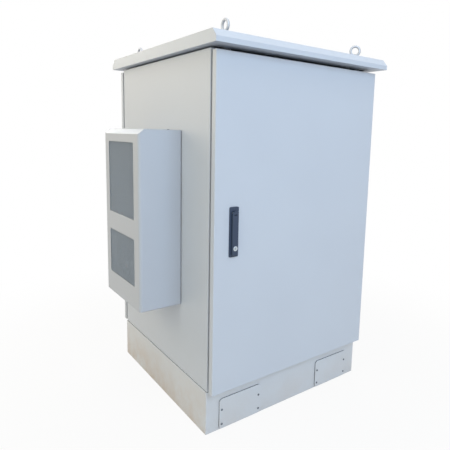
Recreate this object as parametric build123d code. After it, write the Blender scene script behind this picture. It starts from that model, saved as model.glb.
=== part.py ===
"""Outdoor equipment cabinet on a plinth, with a folded roof and a side cooling unit.

Millimetres, Z up, origin on the floor at the centre of the plinth's anchor holes.
The door faces -Y and the cooling unit stands on the -X side.
"""
import os
from math import cos, radians, sin, sqrt

from build123d import *

os.makedirs("parts", exist_ok=True)

# Body shell
cabinet_width = 900.0  # over the two side panels
cabinet_depth = 864.0  # over the folded edges of the side panels
plinth_height = 190.0
body_height = 1364.0
sheet = 2.0
bend_radius = 3.0
side_return = 22.0  # folded edge of a side panel
panel_return = 20.0  # folded edge of the base and top panels
frame_gap = 2.0  # frame ring to the sheets round it
opening_inset = 54.0  # side panel face to the door opening
opening_sill = 25.0  # plinth to the door opening
opening_head = 29.0  # top of the body to the door opening
frame_lip = 22.0  # rain lip round the opening
cut_overrun = 5.0

# Turns and counts
quarter_turn = 90.0
full_turn = 360.0
hex_sides = 6
round_sides = 12  # flats on small round pieces that repeat

# Plinth
plinth_ledge = 4.0  # plinth past the side panels
plinth_wall = 3.0
plinth_flange = 45.0
plinth_seal = 2.0  # foam tape under the body
plinth_seal_inset = 0.5
plinth_seal_width = 30.0
anchor_radius = 7.0
anchor_inset = 25.0
cover_width = 218.0
cover_height = 135.0
cover_inset = 169.0  # body's side to the middle of a cover
cover_floor_gap = 3.0
cover_corner = 15.0
cover_gasket = 3.0  # foam under each cover
cover_gasket_inset = 0.5
cover_window_margin = 30.0
cover_screw_inset = 12.0
cover_screw_heights = (21.0, 86.0)  # above the cover's lower edge
plinth_bolt_inset = 18.0
plinth_bolt_share = 0.6  # of the half width and half depth

# Screws and bolts
screw_head_radius = 4.6
screw_head_height = 2.6
bolt_flats = 13.0
bolt_head_height = 5.3

# Door and rear cover
door_gap = 14.0  # dark joint between the body and the folded edge
door_depth = 26.0
door_lip = 15.0
door_bottom_gap = 1.5
door_top_drop = 9.0
gasket_width = 16.0
gasket_clearance = 0.3
stiffener_width = 40.0
stiffener_depth = 16.0
stiffener_share = 0.4  # of the half width
stiffener_end_gap = 60.0
rear_spacer_count = 4
rear_spacer_margin = 90.0
rear_spacer_width = 9.0
rear_spacer_height = 40.0

# Door hinges
hinge_inset = 14.0  # pin to the door's edge and to its face
hinge_pin_radius = 3.0
hinge_knuckle = 12.0  # square across the pin
hinge_fit = 0.05
hinge_knuckle_height = 24.0
hinge_knuckle_gap = 0.5
hinge_arm = 4.0
hinge_arm_reach = 29.0  # pin to the outer face of the arm
hinge_foot_width = 20.0
hinge_foot_height = 50.0
hinge_foot_sheet = 3.0
hinge_leaf_sheet = 3.0
hinge_leaf_height = 60.0
hinge_leaf_depth = 13.0
hinge_leaf_front_gap = 2.0
hinge_web = 6.0
hinge_notch_clearance = 10.0
hinge_margin = 140.0
hinge_count = 3

# Swing handle and lock
handle_inset = 89.0  # body's side to the middle of the handle
handle_base_width = 42.0
handle_base_height = 200.0
handle_base_depth = 5.0
handle_base_bottom = 570.0  # above the plinth
handle_base_corner = 4.0
handle_spindle_drop = 22.0  # spindle below the base's upper end
handle_boss_width = 26.0
handle_boss_height = 44.0
handle_boss_depth = 20.0
handle_boss_clearance = 0.5
handle_width = 26.0
handle_depth = 9.0
handle_gap = 1.0
handle_bottom_gap = 8.0
handle_edge = 3.0
handle_pin_radius = 2.5
handle_fit = 0.05
fork_width = 12.0
fork_clearance = 0.2
fork_half_height = 7.0
fork_slot_drop = 10.0
fork_base_gap = 0.3
spindle_radius = 7.0
spindle_fit = 0.06
spindle_square = 9.0
lock_rise = 28.0  # lock above the handle's lower end
lock_radius = 10.0
lock_proud = 2.0
lock_fit = 0.05
lock_ring_floor = 1.0
plug_radius = 6.5
plug_proud = 0.6
keyway_width = 2.0
keyway_height = 8.0
keyway_depth = 5.0

# Lock rods
cam_plane = 20.0  # door face to the cam
cam_sheet = 4.0
cam_throw = 14.142  # centre to each cam pin
cam_edge = 8.0
cam_pin_radius = 4.0
cam_pin_length = 9.5
rod_plane = 27.5  # door face to the rods
rod_sheet = 5.0
rod_width = 15.0
rod_plate_inner = 1.5
rod_plate_outer = 23.0
rod_plate_half_height = 11.0
rod_slot_clearance = 0.7
rod_travel = 20.0
rod_tip_gap = 2.0
guide_width = 28.0
guide_height = 20.0
guide_back = 4.0
guide_clearance = 0.5
guide_shares = (0.32, 0.86)  # along each rod from the cam
keeper_width = 32.0
keeper_drop = 20.0
keeper_sheet = 3.0
keeper_front = 1.0  # keeper behind the rain lip's edge

# Roof
roof_side_overhang = 28.5
roof_front_overhang = 82.0
roof_gap = 7.5  # body top to the roof's lower edge
roof_lip_height = 19.5
roof_height = 48.5
roof_slope_run = 25.0
roof_soffit_side = 50.0
roof_soffit_end = 90.0
roof_edge = 2.5

# Lifting eyes
eye_side_inset = 79.0  # body's side to an eye
eye_end_inset = 27.0  # body's front or rear to an eye
eye_turns = (90.0, 135.0, 90.0, 45.0)  # front left, front right, rear left, rear right
eye_ring_radius = 21.0
eye_bar_radius = 6.0
eye_bar_sides = 6
eye_rise = 26.0  # collar to the ring's centre
eye_collar_radius = 15.0
eye_collar_height = 8.0
eye_shank_radius = 6.0
eye_shank_grip = 30.0  # shank inside the roof post
eye_clearance = 0.5
eye_washer_radius = 18.5
eye_washer = 3.0
eye_nut_flats = 19.0
eye_nut = 10.0
roof_post = 30.0

# Equipment rack
rack_half_opening = 225.0
rack_hole_x = 232.55
rack_flange = 25.0
rack_web = 42.0
rack_inset = 100.0  # body's front or rear to the rails
rack_unit = 44.45
rear_hole_unit_count = 3  # units from hole to hole on the rear rails
rack_units = 28
rack_hole = 9.5
channel_width = 50.0
channel_height = 25.0
channel_offset = 11.0  # channel past the rail's inner edge
channel_end_gap = 6.0

# Cable entry and earth bar
entry_y = 150.0
entry_width = 300.0
entry_depth = 140.0
gland_margin = 15.0
earth_width = 25.0
earth_thick = 5.0
earth_length = 260.0
earth_rise = 60.0
earth_stand = 30.0
earth_stand_flats = 18.0
earth_stand_share = 0.7
earth_bolt_share = 0.34

# Cooling unit
ac_centre_y = -12.0
ac_width = 392.0
ac_depth = 190.0
ac_bottom = 307.0  # above the plinth
ac_height = 755.0
ac_corner = 12.0
ac_slope_run = 25.0
ac_slope_drop = 21.0
ac_gasket = 2.5
ac_gasket_inset = 5.0
ac_gasket_band = 14.0
ac_gasket_squeeze = 0.2
ac_fit = 0.5
ac_shelf_end = 6.0
ac_flange = 30.0
ac_partition_share = 0.5
ac_bolt_inset = 32.0
ac_bolt_rows = 3
ac_screw_inset = 90.0
grille_width = 282.0
grille_upper = (382.0, 317.0)  # lower edge above the unit's bottom, and height
grille_lower = (96.0, 203.0)
grille_corner = 5.0
grille_band = 12.0
grille_bar = 4.0
grille_pitch = 9.0
grille_post = 8.0
window_width = 220.0
window_height = 120.0
window_lower = 63.0
window_upper = 593.0
window_rim = 12.0
window_slots = 9
window_slot_share = 0.5
coil_depth = 36.0
coil_front_gap = 14.0
coil_fins = 16
coil_fin_depth = 6.0
coil_fin_share = 0.5
coil_plate = 3.0
coil_margin = 4.0
evaporator_rise = 265.0
evaporator_height = 280.0
evaporator_width = 250.0
evaporator_gap = 18.0
fan_radius = 88.0
fan_hub_radius = 28.0
fan_depth = 34.0
fan_blades = 5
fan_chord = 44.0
fan_blade = 2.5
fan_pitch = 32.0
fan_bore = 4.0
fan_fit = 0.05
fan_front_gap = 12.0
fan_motor_gap = 4.0
fan_tip_clearance = 5.0
motor_radius = 30.0
motor_length = 32.0
shroud_sheet = 3.0
shroud_margin = 12.0
shroud_front_gap = 8.0
shroud_ring_depth = 26.0
shroud_post = 10.0
blower_radius = 66.0
blower_front_gap = 20.0
compressor_radius = 36.0
compressor_height = 72.0
compressor_crown = 10.0
compressor_offset = 110.0
compressor_foot = 48.0
compressor_foot_height = 5.0
pipe_radius = 4.0
pipe_sides = 8
pipe_rise = 14.0
pipe_side_gap = 14.0
pipe_spacing = 24.0

# Derived positions
half_width = cabinet_width / 2
half_depth = cabinet_depth / 2
body_top = plinth_height + body_height
plinth_half_width = half_width + plinth_ledge
plinth_top = plinth_height - plinth_seal
web_inside = half_width - sheet
return_inside = half_width - side_return
frame_face = half_depth - sheet
frame_back = frame_face - sheet
lip_edge = frame_back + frame_lip
opening_x = half_width - opening_inset
opening_bottom = plinth_height + opening_sill
opening_top = body_top - opening_head
floor_top = plinth_height + sheet
ceiling = body_top - sheet
cover_centre_x = half_width - cover_inset
cover_back = half_depth + cover_gasket
cover_face = cover_back + sheet
stiffener_x = half_width * stiffener_share
rack_front_y = half_depth - rack_inset
eye_x = half_width - eye_side_inset
eye_y = half_depth - eye_end_inset
handle_x = handle_inset - half_width
door_back = half_depth + door_gap
door_face = door_back + door_depth
door_inside = door_face - sheet
door_bottom = plinth_height + door_bottom_gap
door_top = body_top - door_top_drop
roof_bottom = body_top + roof_gap
roof_top = roof_bottom + roof_height
eye_base = roof_top + eye_washer + eye_nut
hinge_x = half_width - hinge_inset
hinge_y = -door_face + hinge_inset
hinge_first = door_bottom + hinge_margin
hinge_step = (door_top - door_bottom - 2 * hinge_margin) / (hinge_count - 1)
hinge_heights = [hinge_first + n * hinge_step for n in range(hinge_count)]
handle_base_z = plinth_height + handle_base_bottom
spindle_z = handle_base_z + handle_base_height - handle_spindle_drop
base_face = -door_face - handle_base_depth
handle_back = base_face - handle_gap
handle_face = handle_back - handle_depth
handle_bottom = handle_base_z + handle_bottom_gap
pin_y = handle_back - handle_depth / 2
lock_z = handle_bottom + lock_rise
cam_front = -door_face + cam_plane
cam_back = cam_front + cam_sheet
rod_front = -door_face + rod_plane
rod_back = rod_front + rod_sheet
cam_side = cam_throw * cos(radians(quarter_turn / 2))
rod_offset = (cam_throw + cam_side) / 2
keeper_face = -lip_edge + keeper_front
ac_front_y = ac_centre_y - ac_width / 2
ac_rear_y = ac_centre_y + ac_width / 2
ac_base_z = plinth_height + ac_bottom
ac_top_z = ac_base_z + ac_height
ac_face = -half_width - ac_depth
ac_inside = ac_face + sheet
ac_back = -half_width - ac_gasket
chassis_face = ac_back - sheet
shelf_top = ac_base_z + sheet + ac_fit + sheet
partition_face = -half_width - ac_depth * ac_partition_share
partition_back = partition_face + sheet
grille_back = ac_inside + sheet
lower_grille_z = ac_base_z + grille_lower[0] + grille_lower[1] / 2


def block(xa, xb, ya, yb, za, zb):
    """Box between two opposite corners."""
    centre = Pos((xa + xb) / 2, (ya + yb) / 2, (za + zb) / 2)
    return centre * Box(abs(xb - xa), abs(yb - ya), abs(zb - za))


def bar_x(xa, xb, y, z, radius):
    """Round bar along X."""
    return Pos((xa + xb) / 2, y, z) * Rot(0, quarter_turn, 0) * Cylinder(radius, abs(xb - xa))


def bar_y(x, ya, yb, z, radius):
    """Round bar along Y."""
    return Pos(x, (ya + yb) / 2, z) * Rot(quarter_turn, 0, 0) * Cylinder(radius, abs(yb - ya))


def bar_z(x, y, za, zb, radius):
    """Round bar along Z."""
    return Pos(x, y, (za + zb) / 2) * Cylinder(radius, abs(zb - za))


def hexagon(flats, height):
    """Upright hexagon standing on the origin."""
    return extrude(RegularPolygon(flats / sqrt(hex_sides / 2), hex_sides), amount=height)


def stud(radius, height):
    """Small round piece standing on the origin."""
    return extrude(RegularPolygon(radius, round_sides), amount=height)


def group(solids):
    """Separate solids kept in one node."""
    return Compound(children=list(solids))


def mirrored(shape):
    """Front piece turned into its rear twin."""
    return mirror(shape, about=Plane.XZ)


def make_plinth():
    """Folded plinth ring with floor and top flanges, cover windows and anchor holes."""
    outer = block(-plinth_half_width, plinth_half_width, -half_depth, half_depth, 0, plinth_top)
    outer = fillet(outer.edges().filter_by(Axis.Z), bend_radius)
    wall_x = plinth_half_width - plinth_wall
    wall_y = half_depth - plinth_wall
    shell = outer - block(-wall_x, wall_x, -wall_y, wall_y, plinth_wall, plinth_top - plinth_wall)
    throat_x = plinth_half_width - plinth_flange
    throat_y = half_depth - plinth_flange
    low = -cut_overrun
    shell -= block(-throat_x, throat_x, -throat_y, throat_y, low, plinth_top + cut_overrun)
    for side in (-1, 1):
        shell -= cover_window(side)
    anchor_x = plinth_half_width - anchor_inset
    anchor_y = half_depth - anchor_inset
    for x in (-anchor_x, anchor_x):
        for y in (-anchor_y, anchor_y):
            shell -= bar_z(x, y, low, plinth_wall + cut_overrun, anchor_radius)
    return shell


def make_plinth_seal():
    """Foam tape between the plinth's top flange and the body."""
    x = half_width - plinth_seal_inset
    y = half_depth - plinth_seal_inset
    inner_x = x - plinth_seal_width
    inner_y = y - plinth_seal_width
    tape = block(-x, x, -y, y, plinth_top, plinth_height)
    low = plinth_top - cut_overrun
    return tape - block(-inner_x, inner_x, -inner_y, inner_y, low, plinth_height + cut_overrun)


def plinth_bolt_points():
    """Bolts that hold the body down on the plinth."""
    x = plinth_half_width - plinth_bolt_inset - plinth_ledge
    y = half_depth * plinth_bolt_share
    return [(sx * x, sy * y) for sx in (-1, 1) for sy in (-1, 1)]


def plinth_bolts():
    """Bolt heads that hold the base panel down on the plinth."""
    return [Pos(x, y, floor_top) * hexagon(bolt_flats, bolt_head_height) for x, y in plinth_bolt_points()]


def cover_window(side):
    """Hand hole behind one plinth cover."""
    reach = cover_width / 2 - cover_window_margin
    x = side * cover_centre_x
    low = cover_floor_gap + cover_window_margin
    high = cover_floor_gap + cover_height - cover_window_margin
    return block(x - reach, x + reach, -half_depth - cut_overrun, -half_depth + plinth_flange, low, high)


def cover_screws():
    """Screw positions on one cover: across from its middle, and height."""
    reach = cover_width / 2 - cover_screw_inset
    return [(x, cover_floor_gap + z) for x in (-reach, reach) for z in cover_screw_heights]


def cover_plate(side, face, back, inset):
    """Plate of a cover's outline with rounded corners, drawn in at its edges."""
    x = side * cover_centre_x
    reach = cover_width / 2 - inset
    low = cover_floor_gap + inset
    high = cover_floor_gap + cover_height - inset
    plate = block(x - reach, x + reach, -face, -back, low, high)
    return fillet(plate.edges().filter_by(Axis.Y), cover_corner - inset)


def make_plinth_cover(side):
    """Flat access cover on its seal."""
    return cover_plate(side, cover_face, cover_back, 0)


def make_cover_gaskets():
    """Foam frames between the plinth and its covers."""
    pads = [cover_plate(side, cover_back, half_depth, cover_gasket_inset) for side in (-1, 1)]
    return group(pad - cover_window(side) for pad, side in zip(pads, (-1, 1)))


def plinth_screws():
    """Screw heads on both covers."""
    solids = []
    for side in (-1, 1):
        for across, z in cover_screws():
            place = Pos(side * cover_centre_x + across, -cover_face, z) * Rot(quarter_turn, 0, 0)
            solids.append(place * stud(screw_head_radius, screw_head_height))
    return solids


def make_base_panel():
    """Floor of the body with turned up edges and the cable entry cut out."""
    plate = block(-web_inside, web_inside, -frame_face, frame_face, plinth_height, floor_top)
    edge_top = plinth_height + panel_return
    for y in (-1, 1):
        plate += block(-return_inside, return_inside, y * frame_face, y * half_depth, plinth_height, edge_top)
    low = plinth_height - cut_overrun
    high = floor_top + cut_overrun
    back = entry_y + entry_depth / 2
    return plate - block(-entry_width / 2, entry_width / 2, entry_y - entry_depth / 2, back, low, high)


def make_top_panel():
    """Ceiling of the body with turned down edges."""
    plate = block(-web_inside, web_inside, -frame_face, frame_face, ceiling, body_top)
    edge = body_top - panel_return
    for y in (-1, 1):
        plate += block(-return_inside, return_inside, y * frame_face, y * half_depth, edge, body_top)
    return plate


def make_side_panel(side):
    """Side skin with folded front and rear edges."""
    outer = block(side * half_width, side * return_inside, -half_depth, half_depth, plinth_height, body_top)
    bends = outer.edges().filter_by(Axis.Z).sort_by(Axis.X)
    outer = fillet(bends[-2:] if side > 0 else bends[:2], bend_radius)
    low = plinth_height - cut_overrun
    high = body_top + cut_overrun
    inner_x = side * (return_inside - cut_overrun)
    return outer - block(side * web_inside, inner_x, -frame_face, frame_face, low, high)


def make_left_panel():
    """Left skin with the air windows of the cooling unit."""
    return make_side_panel(-1) - [air_window(rise) for rise in (window_lower, window_upper)]


def make_front_frame():
    """Door frame: flat ring behind the folded edges with a rain lip round the opening."""
    ring_x = web_inside - frame_gap
    low = floor_top + frame_gap
    high = ceiling - frame_gap
    ring = block(-ring_x, ring_x, -frame_face, -frame_back, low, high)
    lip_x = opening_x + sheet
    lip = block(-lip_x, lip_x, -lip_edge, -frame_back, opening_bottom - sheet, opening_top + sheet)
    front = -lip_edge - cut_overrun
    back = -frame_back + cut_overrun
    return ring + lip - block(-opening_x, opening_x, front, back, opening_bottom, opening_top)


def rear_spacer_points():
    """Inner edge and height of each spacer behind the rear cover's lips."""
    step = (door_top - door_bottom - 2 * rear_spacer_margin) / (rear_spacer_count - 1)
    heights = [door_bottom + rear_spacer_margin + n * step for n in range(rear_spacer_count)]
    return [(side, web_inside - door_lip, z) for side in (-1, 1) for z in heights]


def make_pan():
    """Folded door skin: a face, four returns and four back lips."""
    outer = block(-half_width, half_width, -door_face, -door_back, door_bottom, door_top)
    face = outer.faces().sort_by(Axis.Y)[0]
    outer = fillet(face.edges().filter_by(Axis.Z), bend_radius)
    low = door_bottom + sheet
    high = door_top - sheet
    cavity = block(-web_inside, web_inside, -door_inside, -door_back - sheet, low, high)
    mouth_x = web_inside - door_lip
    back = -door_back + cut_overrun
    mouth = block(-mouth_x, mouth_x, -door_inside, back, low + door_lip, high - door_lip)
    return outer - cavity - mouth


def make_front_door():
    """Door skin with the handle cut-out and clear notches at the hinges."""
    door = make_pan()
    half_notch = hinge_leaf_height / 2 + hinge_notch_clearance
    back = -door_back + cut_overrun
    for z in hinge_heights:
        inner_x = web_inside - door_lip - cut_overrun
        door -= block(inner_x, web_inside, -door_back - sheet, back, z - half_notch, z + half_notch)
    reach = handle_boss_width / 2 + handle_boss_clearance
    rise = handle_boss_height / 2 + handle_boss_clearance
    front = -door_face - cut_overrun
    behind = -door_inside + cut_overrun
    return door - block(handle_x - reach, handle_x + reach, front, behind, spindle_z - rise, spindle_z + rise)


def make_gasket():
    """Foam seal on the door's inside, facing the rain lip's edge."""
    middle_x = opening_x + sheet / 2
    low = opening_bottom - sheet / 2
    high = opening_top + sheet / 2
    half = gasket_width / 2
    back = -lip_edge - gasket_clearance
    band = block(-middle_x - half, middle_x + half, -door_inside, back, low - half, high + half)
    front = -door_inside - cut_overrun
    inner_x = middle_x - half
    return band - block(-inner_x, inner_x, front, back + cut_overrun, low + half, high - half)


def make_stiffeners():
    """Two upright channels inside the door."""
    solids = []
    low = opening_bottom + stiffener_end_gap
    high = opening_top - stiffener_end_gap
    half = stiffener_width / 2
    back = -door_inside + stiffener_depth
    for x in (-stiffener_x, stiffener_x):
        channel = block(x - half, x + half, -door_inside, back, low, high)
        inner = half - sheet
        front = -door_inside - cut_overrun
        channel -= block(x - inner, x + inner, front, back - sheet, low - cut_overrun, high + cut_overrun)
        solids.append(channel)
    return group(solids)


def make_hinge_pins():
    """Pins on the door's turning axis."""
    low = hinge_knuckle_height
    high = hinge_knuckle_height + hinge_knuckle_gap
    return group(bar_z(hinge_x, hinge_y, z - low, z + high, hinge_pin_radius) for z in hinge_heights)


def hinge_barrel(low, high):
    """Square knuckle round the pin, before it is bored."""
    half = hinge_knuckle / 2
    return block(hinge_x - half, hinge_x + half, hinge_y - half, hinge_y + half, low, high)


def hinge_bore(low, high):
    """Running bore for a hinge pin."""
    return bar_z(hinge_x, hinge_y, low - cut_overrun, high + cut_overrun, hinge_pin_radius + hinge_fit)


def make_frame_leaves():
    """Cranked hinge arms from the door frame to the lower half of each pin."""
    solids = []
    arm_x = hinge_x - hinge_arm_reach
    flange = -frame_face
    foot_face = flange - hinge_foot_sheet
    foot_half = hinge_foot_height / 2
    for z in hinge_heights:
        low = z - hinge_knuckle_height
        leaf = hinge_barrel(low, z)
        leaf += block(arm_x, hinge_x, hinge_y - hinge_arm / 2, hinge_y + hinge_arm / 2, low, z)
        leaf += block(arm_x, arm_x + hinge_arm, hinge_y, flange, low, z)
        leaf += block(arm_x, arm_x + hinge_foot_width, foot_face, flange, z - foot_half, z + foot_half)
        solids.append(leaf - hinge_bore(low, z))
    return group(solids)


def make_door_leaves():
    """Hinge leaves on the door's edge with a knuckle on the upper half of each pin."""
    solids = []
    plate_x = web_inside - hinge_leaf_sheet
    front = -door_inside + hinge_leaf_front_gap
    half = hinge_leaf_height / 2
    for z in hinge_heights:
        low = z + hinge_knuckle_gap
        high = low + hinge_knuckle_height
        leaf = block(plate_x, web_inside, front, front + hinge_leaf_depth, z - half, z + half)
        leaf += hinge_barrel(low, high)
        leaf += block(hinge_x, plate_x, hinge_y - hinge_web / 2, hinge_y + hinge_web / 2, low, high)
        solids.append(leaf - hinge_bore(low, high))
    return group(solids)


def make_handle_base():
    """Handle plate on the door with its spindle boss."""
    half = handle_base_width / 2
    top = handle_base_z + handle_base_height
    plate = block(handle_x - half, handle_x + half, base_face, -door_face, handle_base_z, top)
    plate = fillet(plate.edges().filter_by(Axis.Y), handle_base_corner)
    reach = handle_boss_width / 2
    rise = handle_boss_height / 2
    boss_back = -door_face + handle_boss_depth - fork_base_gap
    plate += block(handle_x - reach, handle_x + reach, -door_face, boss_back, spindle_z - rise, spindle_z + rise)
    bore = spindle_radius + spindle_fit
    return plate - bar_y(handle_x, base_face - cut_overrun, boss_back + cut_overrun, spindle_z, bore)


def make_spindle():
    """Turning spindle: a block for the handle's pin, a round shaft and a square end."""
    half = fork_width / 2
    block_back = base_face - fork_base_gap
    low = spindle_z - fork_half_height
    high = spindle_z + fork_half_height
    shape = block(handle_x - half, handle_x + half, handle_face, block_back, low, high)
    shape += bar_y(handle_x, block_back, cam_front, spindle_z, spindle_radius)
    side = spindle_square / 2
    shape += block(handle_x - side, handle_x + side, cam_front, cam_back, spindle_z - side, spindle_z + side)
    hole = handle_pin_radius + handle_fit
    return shape - bar_x(handle_x - handle_width, handle_x + handle_width, pin_y, spindle_z, hole)


def make_handle_pin():
    """Cross pin that the handle lifts on."""
    reach = handle_width / 2
    return bar_x(handle_x - reach, handle_x + reach, pin_y, spindle_z, handle_pin_radius)


def make_handle():
    """Lever with a rounded upper end, a fork for the spindle and a lock hole."""
    half = handle_width / 2
    lever = block(handle_x - half, handle_x + half, handle_face, handle_back, handle_bottom, spindle_z)
    corners = lever.edges().filter_by(Axis.Y).sort_by(Axis.Z)[:2]
    lever = fillet(corners, handle_edge)
    rims = lever.faces().sort_by(Axis.Y)[0].edges().filter_by(Axis.Z)
    lever = fillet(rims, handle_edge)
    lever += bar_x(handle_x - half, handle_x + half, pin_y, spindle_z, handle_depth / 2)
    slot = fork_width / 2 + fork_clearance
    front = handle_face - cut_overrun
    back = handle_back + cut_overrun
    slot_low = spindle_z - fork_slot_drop
    lever -= block(handle_x - slot, handle_x + slot, front, back, slot_low, spindle_z + handle_depth)
    hole = handle_pin_radius + handle_fit
    lever -= bar_x(handle_x - handle_width, handle_x + handle_width, pin_y, spindle_z, hole)
    return lever - bar_y(handle_x, front, back, lock_z, lock_radius + lock_fit)


def make_lock_cylinder():
    """Lock barrel set in the handle, bored for the key plug."""
    barrel = bar_y(handle_x, handle_face - lock_proud, handle_back, lock_z, lock_radius)
    front = handle_face - lock_proud - cut_overrun
    return barrel - bar_y(handle_x, front, handle_back - lock_ring_floor, lock_z, plug_radius + lock_fit)


def make_key_plug():
    """Turning key plug with its keyway."""
    front = handle_face - lock_proud - plug_proud
    back = handle_back - lock_ring_floor - lock_fit
    plug = bar_y(handle_x, front, back, lock_z, plug_radius)
    half = keyway_width / 2
    rise = keyway_height / 2
    slot = block(handle_x - half, handle_x + half, front - cut_overrun, front + keyway_depth,
                 lock_z - rise, lock_z + rise)
    return plug - slot


def make_cam():
    """Cam plate with two drive pins for the rods."""
    pins = [(handle_x + cam_side, spindle_z - cam_side), (handle_x - cam_side, spindle_z + cam_side)]
    reach = 2 * cam_throw + 2 * cam_edge
    bar = Pos(handle_x, cam_front, spindle_z) * Rot(-quarter_turn, 0, 0) * Rot(0, 0, quarter_turn / 2)
    plate = bar * extrude(Rectangle(reach, 2 * cam_edge), amount=cam_sheet)
    for x, z in pins:
        plate += bar_y(x, cam_back, cam_back + cam_pin_length, z, cam_pin_radius)
    side = spindle_square / 2 + handle_fit
    low = spindle_z - side
    front = cam_front - cut_overrun
    back = cam_back + cut_overrun
    return plate - block(handle_x - side, handle_x + side, front, back, low, spindle_z + side)


def make_rod(turn):
    """Lock rod drawn in: a slotted plate at the cam and a flat bar to the keeper."""
    rest_z = spindle_z - turn * cam_side
    near = handle_x + turn * rod_plate_inner
    far = handle_x + turn * rod_plate_outer
    low = rest_z - rod_plate_half_height
    high = rest_z + rod_plate_half_height
    rod = block(near, far, rod_front, rod_back, low, high)
    x = handle_x + turn * rod_offset
    half = rod_width / 2
    rod += block(x - half, x + half, rod_front, rod_back, rest_z, rod_tip(turn))
    slot = cam_pin_radius + rod_slot_clearance
    slot_near = handle_x + turn * (cam_side - slot)
    slot_far = handle_x + turn * (cam_throw + slot)
    front = rod_front - cut_overrun
    return rod - block(slot_near, slot_far, front, rod_back + cut_overrun, rest_z - slot, rest_z + slot)


def rod_tip(turn):
    """Height of a drawn-in rod's free end."""
    if turn > 0:
        return opening_top - keeper_drop - rod_tip_gap
    return opening_bottom + keeper_drop + rod_tip_gap


def make_rod_guides():
    """Guide blocks that keep the rods straight."""
    solids = []
    half = guide_width / 2
    tall = guide_height / 2
    for turn in (1, -1):
        x = handle_x + turn * rod_offset
        for share in guide_shares:
            z = spindle_z + share * (rod_tip(turn) - spindle_z)
            guide = block(x - half, x + half, -door_inside, rod_back + guide_back, z - tall, z + tall)
            reach = rod_width / 2 + guide_clearance
            front = rod_front - guide_clearance
            back = rod_back + guide_clearance
            low = z - guide_height
            solids.append(guide - block(x - reach, x + reach, front, back, low, z + guide_height))
    return group(solids)


def make_keepers():
    """Angle keepers on the rain lip that the rods pass behind."""
    solids = []
    half = keeper_width / 2
    for turn in (1, -1):
        x = handle_x + turn * rod_offset
        edge = opening_top if turn > 0 else opening_bottom
        tongue = edge - turn * keeper_drop
        shelf = edge - turn * sheet
        keeper = block(x - half, x + half, keeper_face, keeper_face + keeper_sheet, tongue, edge)
        keeper += block(x - half, x + half, keeper_face, -frame_back, shelf, edge)
        solids.append(keeper)
    return group(solids)


def make_rear_spacers():
    """Spacers between the side panels' folded edges and the rear cover's lips."""
    solids = []
    half = rear_spacer_height / 2
    for side, x, z in rear_spacer_points():
        far = side * (x + rear_spacer_width)
        solids.append(block(side * x, far, half_depth, door_back, z - half, z + half))
    return group(solids)


def rear_cover_bolts():
    """Bolt heads that hold the rear cover from inside the body."""
    heads = []
    for side, x, z in rear_spacer_points():
        place = Pos(side * (x + rear_spacer_width / 2), frame_back, z) * Rot(quarter_turn, 0, 0)
        heads.append(place * hexagon(bolt_flats, bolt_head_height))
    return heads


def roof_profile(inset):
    """End shape of the roof, drawn in by a skin thickness."""
    deep = half_depth + roof_front_overhang
    lip_top = roof_bottom + roof_lip_height
    right = [(deep, roof_bottom), (deep, lip_top), (deep - roof_slope_run, roof_top)]
    left = [(-y, z) for y, z in reversed(right)]
    shape = Polygon(*(right + left), align=None)
    return offset(shape, amount=-inset, kind=Kind.INTERSECTION) if inset else shape


def make_roof():
    """Folded roof: vertical side skirts, sloped front and rear, a soffit and eye holes."""
    reach = half_width + roof_side_overhang
    outer = extrude(Plane.YZ * roof_profile(0), amount=reach, both=True)
    seams = [edge for edge in outer.edges().filter_by(Axis.X) if edge.center().Z > roof_bottom + sheet]
    outer = fillet(seams, roof_edge)
    inner = extrude(Plane.YZ * roof_profile(sheet), amount=reach - sheet, both=True)
    mouth_x = reach - roof_soffit_side
    mouth_y = half_depth + roof_front_overhang - roof_soffit_end
    low = roof_bottom - cut_overrun
    mouth = block(-mouth_x, mouth_x, -mouth_y, mouth_y, low, roof_bottom + cut_overrun)
    radius = eye_shank_radius + eye_clearance
    holes = [bar_z(x, y, roof_top - cut_overrun, roof_top + cut_overrun, radius) for x, y in eye_points()]
    return outer - inner - mouth - holes


def eye_points():
    """Lifting eye positions: front left, front right, rear left, rear right."""
    return [(-eye_x, -eye_y), (eye_x, -eye_y), (-eye_x, eye_y), (eye_x, eye_y)]


def make_lifting_eyes():
    """Forged rings, each with a collar, a lock nut, a washer and a shank down into a roof post."""
    section = Pos(eye_ring_radius, 0) * RegularPolygon(eye_bar_radius, eye_bar_sides)
    ring = revolve(Plane.XZ * section, axis=Axis.Z)
    depth = sheet + eye_shank_grip
    solids = []
    for (x, y), turn in zip(eye_points(), eye_turns):
        eye = Pos(x, y, eye_base + eye_rise) * Rot(0, 0, turn) * Rot(quarter_turn, 0, 0) * ring
        eye += Pos(x, y, eye_base) * stud(eye_collar_radius, eye_collar_height)
        eye += Pos(x, y, roof_top + eye_washer) * hexagon(eye_nut_flats, eye_nut)
        eye += Pos(x, y, roof_top) * stud(eye_washer_radius, eye_washer)
        eye += Pos(x, y, roof_top - depth) * stud(eye_shank_radius, depth)
        solids.append(eye)
    return group(solids)


def make_roof_posts():
    """Square posts that carry the roof and take the lifting eyes' shanks."""
    solids = []
    half = roof_post / 2
    high = roof_top - sheet
    for x, y in eye_points():
        post = block(x - half, x + half, y - half, y + half, body_top, high)
        bore = eye_shank_radius + hinge_fit
        solids.append(post - bar_z(x, y, high - eye_shank_grip, high + cut_overrun, bore))
    return group(solids)


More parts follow.
